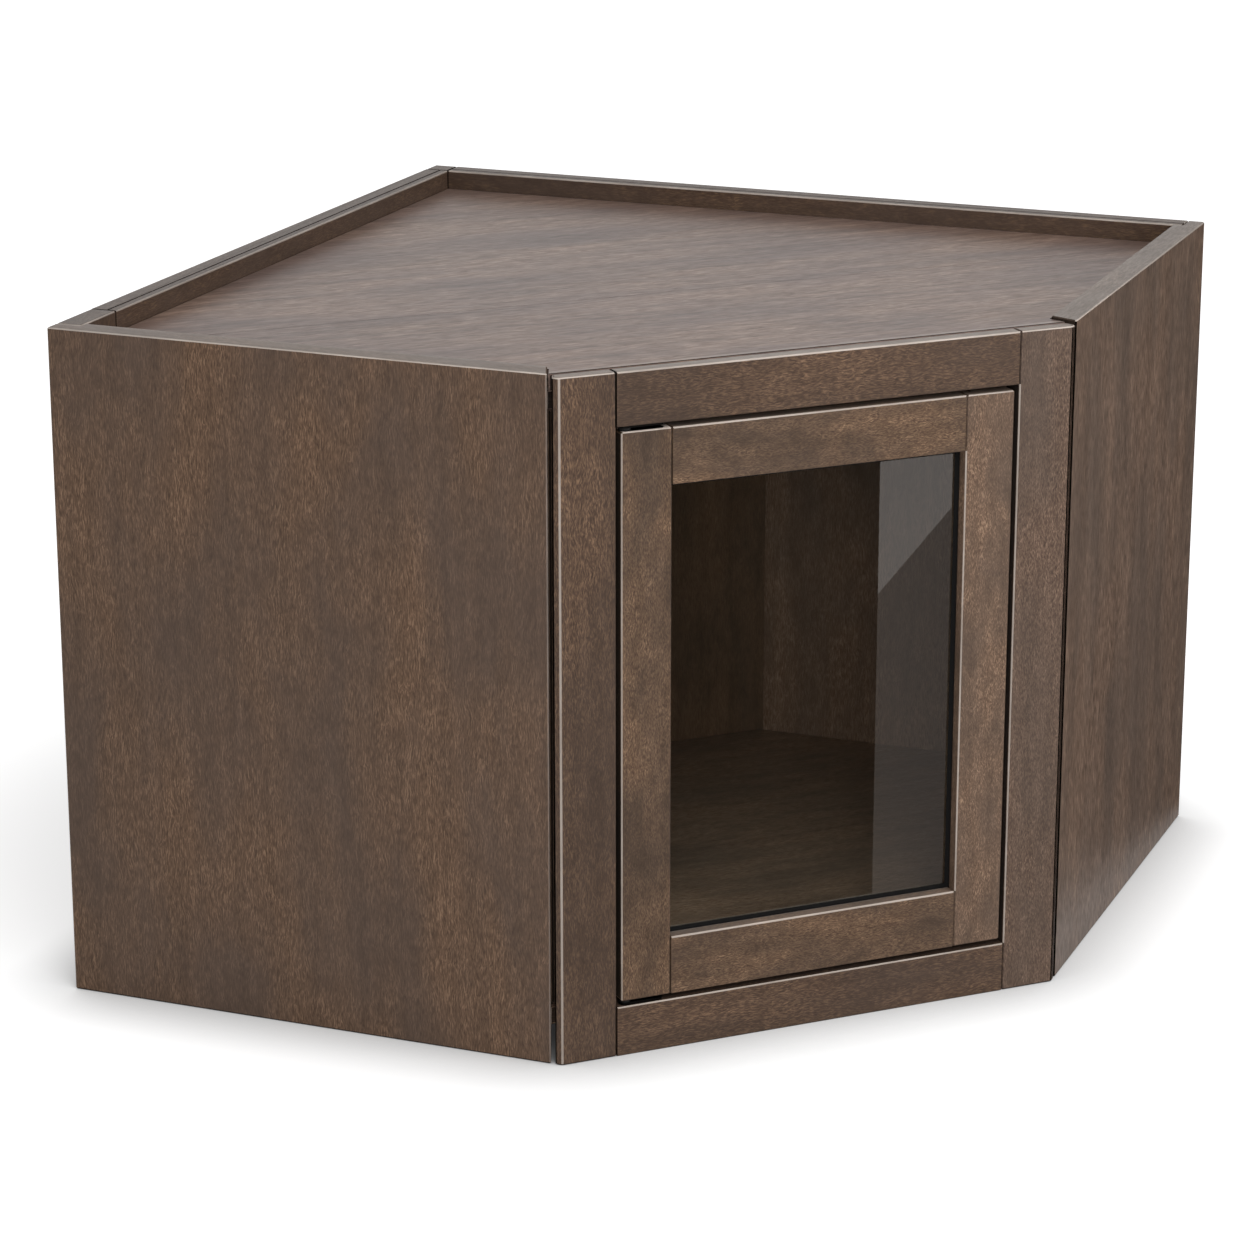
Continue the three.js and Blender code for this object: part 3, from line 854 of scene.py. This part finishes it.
@dataclass
class Back:
    """Back skins, hanging rails, back stile, corner post, and the panel across the corner."""

    boards: Boards
    # painted light: both skins are paler than the outside veneers, and the left one more, standing in for
    # light inside the case
    left_skin: StainedMaple = StainedMaple(
        "maple_left_back_skin", shade="#7b5e4c", stain="#947664", fleck="#ad8e7b", cool="#857064"
    )
    right_skin: StainedMaple = StainedMaple(
        "maple_right_back_skin", shade="#6e5343", stain="#856958", fleck="#9d806e", cool="#78655a"
    )
    # painted shade: darker than the right skin, for the shade in the inside corner
    corner: StainedMaple = StainedMaple(
        "maple_corner_panel",
        shade="#5e4536", stain="#715745", fleck="#896d57", cool="#645246", fleck_contrast=0.6,
    )
    rail: StainedMaple = StainedMaple("maple_hanging_rail", stain="#4f3e34", fleck="#69543f")
    corner_edges: Edges = Edges(wear_and_highlight=0.0)

    def build(self) -> None:
        """Makes the boards of both walls."""
        make = self.boards.make
        rail = self.rail.material()
        strip_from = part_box("top_panel")[0][2]
        walls = {
            "left": (self.left_skin, Grain.UPRIGHT_LEFT_WALL, Grain.ALONG_LEFT_WALL),
            "right": (self.right_skin, Grain.UPRIGHT_RIGHT_WALL, Grain.ALONG_RIGHT_WALL),
        }
        for number, (side, (skin, upright, along)) in enumerate(walls.items()):
            make(f"back_skin_{side}", skin.material(), upright, 21 + number, facing=(strip_from, rail))
            make(f"top_hanging_rail_{side}", rail, along, 23 + number)
            make(f"bottom_hanging_rail_{side}", rail, along, 25 + number)
        make("corner_panel", self.corner.material(), Grain.UPRIGHT_FRONT, 20, self.corner_edges)
        make("back_stile_left", rail, Grain.UPRIGHT_LEFT_WALL, 27)
        make("back_corner_post", rail, Grain.UPRIGHT_LEFT_WALL, 28)


@dataclass
class FaceFrame:
    """The frame round the door."""

    boards: Boards
    wood: StainedMaple = StainedMaple(
        "maple_face_frame",
        shade="#3b2d24", stain="#4f3d31", fleck="#745c48", cool="#483b33",
        fleck_mm=(0.7, 4.5), wander_size_mm=20.0, grain_depth_mm=0.12,
    )
    sheen_painted_wood: StainedMaple = StainedMaple(
        "maple_face_frame_painted_sheen",  # the right stile is painted paler and cooler: painted sheen where more light falls on the right; its shorter, livelier fleck is grain that also paints that sheen's glints
        shade="#3d2f27", stain="#58463b", fleck="#826c5b", cool="#53473f",
        fleck_mm=(0.6, 3.2), fleck_contrast=0.95, wander_size_mm=18.0, grain_depth_mm=0.14,
    )
    left_gap: Triple = (-0.958, 0.287, 0.0)  # the way that the stile's faces in a mitre gap look: they are painted black as shade
    right_gap: Triple = (DIAGONAL, -DIAGONAL, 0.0)
    right_joint_depth: float = 0.4
    # wear and painted highlight on the frame's level upper faces
    top_wear_and_highlight: float = 0.5
    rail_edges: Edges = Edges(wear_and_highlight=0.8, level=-0.5)  # painted shade on the face under the door

    def build(self) -> None:
        """Makes the frame's stiles and rails."""
        make = self.boards.make
        wood, sheen_painted_wood = self.wood.material(), self.sheen_painted_wood.material()
        heights = (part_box("frame_bottom_rail")[1][2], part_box("frame_top_rail")[0][2])
        left = Edges(level=self.top_wear_and_highlight, shaded=self.left_gap, cuts=heights)
        right = replace(left, joint_depth=self.right_joint_depth, shaded=self.right_gap)
        make("frame_stile_left", wood, Grain.UPRIGHT_FRONT, 31, left)
        make("frame_stile_right", sheen_painted_wood, Grain.UPRIGHT_FRONT, 32, right)
        make("frame_top_rail", wood, Grain.ACROSS_FRONT, 33, Edges(level=self.top_wear_and_highlight))
        make("frame_bottom_rail", wood, Grain.ACROSS_FRONT, 34, self.rail_edges)


@dataclass
class Door:
    """The inset door: stiles, rails, glass with its glazing tape, and the stops behind it."""

    boards: Boards
    wood: StainedMaple = StainedMaple(
        "maple_door",
        shade="#3e2e24", stain="#594536", fleck="#806851", cool="#4c3f36",
        fleck_mm=(0.6, 3.0), fleck_contrast=0.95, curl_contrast=0.7,
        cloud_mm=(30.0, 60.0), cloud_contrast=1.0, wander_size_mm=14.0, grain_depth_mm=0.14,
    )
    sheen_painted_wood: StainedMaple = replace(
        wood,
        name="maple_door_painted_sheen",  # the right stile is painted paler: painted sheen where more light falls on the right
        shade="#463529", stain="#614d3f", fleck="#8c735e", cool="#5d4e44",
        fleck_mm=(0.6, 2.8), grain_depth_mm=0.16,
    )
    glass: FloatGlass = FloatGlass()
    tape: MouldedPlastic = MouldedPlastic("glazing_tape", "#060505", roughness=0.9, ior=1.3)
    left_joint_depth: float = 0.55
    right_joint_depth: float = 0.25
    rail_edges: Edges = Edges(wear_and_highlight=0.85, joint_depth=0.55)
    tape_thickness_mm: float = 0.8
    tape_width_mm: float = 3.0  # of it that shows inside the wood

    def _glazing_tape(self, finish: Material) -> None:
        """Lays the dark tape round the front of the glass, against the wood.

        Args:
            finish: its material.
        """
        left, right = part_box("door_stile_left")[1][0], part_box("door_stile_right")[0][0]
        low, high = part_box("door_bottom_rail")[1][2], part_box("door_top_rail")[0][2]
        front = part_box("glass_pane")[0][1]
        width, deep = self.tape_width_mm * MM, self.tape_thickness_mm * MM
        shape = bmesh.new()
        rings = []
        for inset, y in ((0.0, front), (0.0, front - deep), (width, front - deep), (width, front)):
            corners = (
                (left + inset, low + inset), (right - inset, low + inset),
                (right - inset, high - inset), (left + inset, high - inset),
            )
            rings.append([shape.verts.new((x, y, z)) for x, z in corners])
        for ring, following in zip(rings, rings[1:] + rings[:1]):
            for i in range(len(ring)):
                j = (i + 1) % len(ring)
                shape.faces.new((ring[i], ring[j], following[j], following[i]))
        bmesh.ops.recalc_face_normals(shape, faces=shape.faces)
        tape = add_object("glazing_tape", shape, finish)
        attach(tape, Body.DOOR.value)
        LOG.info("glazing tape")

    def build(self) -> None:
        """Makes the door's pieces."""
        make = self.boards.make
        wood, sheen_painted_wood = self.wood.material(), self.sheen_painted_wood.material()
        heights = (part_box("door_bottom_rail")[1][2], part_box("door_top_rail")[0][2])
        stiles = (
            ("left", wood, 41, self.left_joint_depth),
            ("right", sheen_painted_wood, 42, self.right_joint_depth),
        )
        for side, stile_wood, seed, depth in stiles:
            edges = Edges(joint_depth=depth, cuts=heights)
            make(f"door_stile_{side}", stile_wood, Grain.UPRIGHT_FRONT, seed, edges, Body.DOOR)
        for end, seed in (("top", 43), ("bottom", 44)):
            make(f"door_{end}_rail", wood, Grain.ACROSS_FRONT, seed, self.rail_edges, Body.DOOR)
        for seed, side in enumerate(("left", "right", "top", "bottom"), start=45):
            grain = Grain.UPRIGHT_FRONT if side in ("left", "right") else Grain.ACROSS_FRONT
            make(f"glass_stop_{side}", wood, grain, seed, body=Body.DOOR)
        paint(self.boards.frame, "glass_pane", self.glass.material())
        self._glazing_tape(self.tape.material())


@dataclass
class Fittings:
    """Pivot hinges and the magnetic catch."""

    frame: dict[str, Any]
    steel: BlackenedSteel = BlackenedSteel()
    washer: MouldedPlastic = MouldedPlastic("acetal_washer", "#100f0e", roughness=0.85, ior=1.35)
    catch: MouldedPlastic = MouldedPlastic("nylon_catch", "#4a3d34")

    def build(self) -> None:
        """Finishes the metal and plastic pieces."""
        steel, washer = self.steel.material(), self.washer.material()
        for end in ("upper", "lower"):
            paint(self.frame, f"{end}_pivot_frame_leaf", steel)
            paint(self.frame, f"{end}_pivot_door_leaf", steel)
            paint(self.frame, f"{end}_pivot_washer", washer)
        paint(self.frame, "strike_plate", steel)
        paint(self.frame, "catch_body", self.catch.material())


# ---- Studio ----


@dataclass(frozen=True)
class Card:
    """A card that only reflections see, so that glass and lacquer don't mirror plain white alone."""

    name: str
    colour: str
    corners: tuple[tuple[float, ...], ...]  # in order, in metres
    height: float = 0.0004  # of corners that give none: the card lies just over the floor


@dataclass(frozen=True)
class Softbox:
    """A square soft light."""

    name: str
    at: Triple  # where it hangs, in metres
    aim: Triple  # the point that it faces
    size: float  # its side, in metres
    watts: float


@dataclass
class Studio:
    """A white floor and backdrop, even soft light, cards to be mirrored, and the camera."""

    camera_at: Triple = (-1.082, -2.525, 1.025)
    azimuth_deg: float = -23.46
    elevation_deg: float = 17.15
    lens_mm: float = 114.0
    sensor_mm: float = 36.0
    clip_from: float = 0.01
    clip_to: float = 100.0
    dome_light: float = 0.3  # on the cabinet and the floor
    floor_radius: float = 14.0
    floor_corners: int = 96
    floor_height: float = -0.0002  # just under the cabinet's foot
    floor_colour: float = 0.93  # by which the floor lights the cabinet
    floor_own: float = 0.66  # the floor's own white in the picture, which leaves its shadow pale
    floor_shaded: float = 0.55  # the share of its white that shadows take away
    floor_near: float = 0.36  # from here the floor turns to plain white,
    floor_far: float = 0.7  # which it is from here on
    contact_reach: float = 0.065  # how far from the cabinet's foot the painted contact shadow fades out
    contact_power: float = 1.4
    contact_samples: int = 16
    cards: tuple[Card, ...] = (
        Card("white_card", "#fff8f3", ((-0.4, -0.42), (-0.4, -3.0), (1.9, -3.0), (0.9, -0.42)), 0.0002),
        Card("black_card", BLACK, ((0.092, -0.42), (-0.2, -0.42), (0.4, -1.977), (0.893, -1.977))),
        Card(
            "grey_card",
            "#a39b96",
            ((0.092, -0.42), (0.486, -1.186), (0.76, -1.508), (0.766, -1.43), (0.2, -0.42)),
        ),
        Card(
            "side_floor_card",
            BLACK,
            ((0.22, -0.38), (1.6, -0.7), (3.2, 0.0), (3.2, 3.0), (0.9, 3.0), (0.47, -0.05)),
        ),
        Card(
            "side_wall_card",
            BLACK,
            ((2.8, -1.0, 0.0), (2.8, 3.0, 0.0), (2.8, 3.0, 1.4), (2.8, -1.0, 1.4)),
        ),
    )
    softboxes: tuple[Softbox, ...] = (
        Softbox("key", (-0.3, -1.9, 2.1), (0.0, 0.0, 0.2), 1.2, 18.0),
        Softbox("fill", (-0.9, -2.6, 0.8), (0.0, 0.0, 0.2), 1.2, 21.0),
        Softbox("side", (0.95, -1.25, 0.75), (0.2, -0.2, 0.2), 0.5, 7.5),
    )

    def camera(self) -> None:
        """Places the camera at the photograph's viewing angle."""
        data = bpy.data.cameras.new("camera")
        data.lens = self.lens_mm
        data.sensor_width = self.sensor_mm
        data.clip_start = self.clip_from
        data.clip_end = self.clip_to
        camera = bpy.data.objects.new("camera", data)
        bpy.context.scene.collection.objects.link(camera)
        az, el = math.radians(self.azimuth_deg), math.radians(self.elevation_deg)
        back = Vector((math.sin(az) * math.cos(el), -math.cos(az) * math.cos(el), math.sin(el)))
        camera.location = self.camera_at
        camera.rotation_mode = "QUATERNION"
        camera.rotation_quaternion = (-back).to_track_quat("-Z", "Y")
        bpy.context.scene.camera = camera

    def _in_picture(self, tree: Tree) -> Any:
        """Tells rays that end in the picture, straight or mirrored, from those that carry light.

        Args:
            tree: the material's or the world's tree.

        Returns:
            A socket that is 1 for camera, glossy and transmission rays.
        """
        path = add_node(tree, "LightPath")
        seen = path.outputs["Is Camera Ray"]
        for ray in ("Is Glossy Ray", "Is Transmission Ray"):
            seen = add_node(tree, "Math", {0: seen, 1: path.outputs[ray]}, operation="MAXIMUM").outputs[0]
        return seen

    def world(self) -> None:
        """Surrounds the scene with an even white dome."""
        world = bpy.data.worlds.new("white_dome")
        bpy.context.scene.world = world
        world.use_nodes = True
        tree = world.node_tree
        tree.nodes.clear()
        level = add_node(tree, "MapRange", {"Value": self._in_picture(tree), "To Min": self.dome_light})
        background = add_node(tree, "Background", {"Color": linear(WHITE), "Strength": level.outputs[0]})
        add_node(tree, "OutputWorld", {"Surface": background.outputs[0]})

    def _sheet(self, name: str, corners: Sequence[Sequence[float]], material: Material) -> Object:
        """Lays one flat sheet that belongs to the studio.

        Args:
            name: its name.
            corners: its outline, in metres.
            material: its material.

        Returns:
            The sheet.
        """
        shape = bmesh.new()
        shape.faces.new([shape.verts.new(corner) for corner in corners])
        sheet = add_object(name, shape, material)
        return sheet

    def floor(self) -> None:
        """Lays the white floor, with the lamps' soft pale shadow and a painted contact shadow along the
        cabinet's foot.
        """
        material, tree = new_material("white_floor")
        reach = {"Distance": self.contact_reach}
        # painted contact shadow: ambient occlusion darkens the floor's own white along the foot
        contact = add_node(tree, "AmbientOcclusion", reach, samples=self.contact_samples).outputs["AO"]
        dark = add_node(tree, "Math", {0: contact, 1: self.contact_power}, operation="POWER")
        place = add_node(tree, "NewGeometry").outputs["Position"]
        away = add_node(tree, "VectorMath", {0: place}, operation="LENGTH").outputs["Value"]
        inputs = {"From Min": self.floor_near, "From Max": self.floor_far, "To Min": self.floor_own}
        white = add_node(tree, "MapRange", {"Value": away, **inputs}, interpolation_type="SMOOTHSTEP")
        seen = self._in_picture(tree)
        inputs = {"Value": seen, "To Min": self.floor_colour, "To Max": self.floor_shaded}
        colour = add_node(tree, "MapRange", inputs)
        lit = add_node(tree, "BsdfDiffuse", {"Color": colour.outputs[0]})
        near = add_node(tree, "Math", {0: white.outputs[0], 1: dark.outputs[0]}, operation="MULTIPLY")
        strength = add_node(tree, "Math", {0: near.outputs[0], 1: seen}, operation="MULTIPLY")
        own = add_node(tree, "Emission", {"Color": linear(WHITE), "Strength": strength.outputs[0]})
        both = add_node(tree, "AddShader", {0: lit.outputs[0], 1: own.outputs[0]})
        add_node(tree, "OutputMaterial", {"Surface": both.outputs[0]})
        turns = [2 * math.pi * i / self.floor_corners for i in range(self.floor_corners)]
        ring = [
            (self.floor_radius * math.cos(turn), self.floor_radius * math.sin(turn), self.floor_height)
            for turn in turns
        ]
        self._sheet("floor", ring, material)

    def put_up(self, card: Card) -> None:
        """Puts up a card, out of the sight of all but reflections.

        Args:
            card: the card.
        """
        material, tree = new_material(card.name)
        shown = add_node(tree, "Emission", {"Color": linear(card.colour), "Strength": 1.0})
        add_node(tree, "OutputMaterial", {"Surface": shown.outputs[0]})
        corners = [(*corner, card.height)[:3] for corner in card.corners]
        sheet = self._sheet(card.name, corners, material)
        for rays in ("camera", "diffuse", "transmission", "shadow"):
            setattr(sheet, f"visible_{rays}", False)

    def hang(self, box: Softbox) -> None:
        """Hangs a soft light.

        Args:
            box: the light.
        """
        data = bpy.data.lights.new(box.name, "AREA")
        data.shape = "SQUARE"
        data.size = box.size
        data.energy = box.watts
        lamp = bpy.data.objects.new(box.name, data)
        lamp.location = box.at
        lamp.rotation_mode = "QUATERNION"
        lamp.rotation_quaternion = (Vector(box.aim) - Vector(box.at)).to_track_quat("-Z", "Y")
        bpy.context.scene.collection.objects.link(lamp)

    def build(self) -> None:
        """Sets up the whole studio."""
        self.camera()
        self.world()
        self.floor()
        for card in self.cards:
            self.put_up(card)
        for box in self.softboxes:
            self.hang(box)
        bpy.context.scene.view_settings.view_transform = "Standard"


def main() -> None:
    """Loads the frame, dresses every piece and sets up the studio."""
    logging.basicConfig(level=logging.INFO, format="%(name)s: %(message)s")
    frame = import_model()
    Studio().build()
    boards = Boards(frame)
    for part in (Case(boards), Back(boards), FaceFrame(boards), Door(boards), Fittings(frame)):
        part.build()
        LOG.info("built %s", type(part).__name__)


if __name__ == "__main__":
    main()
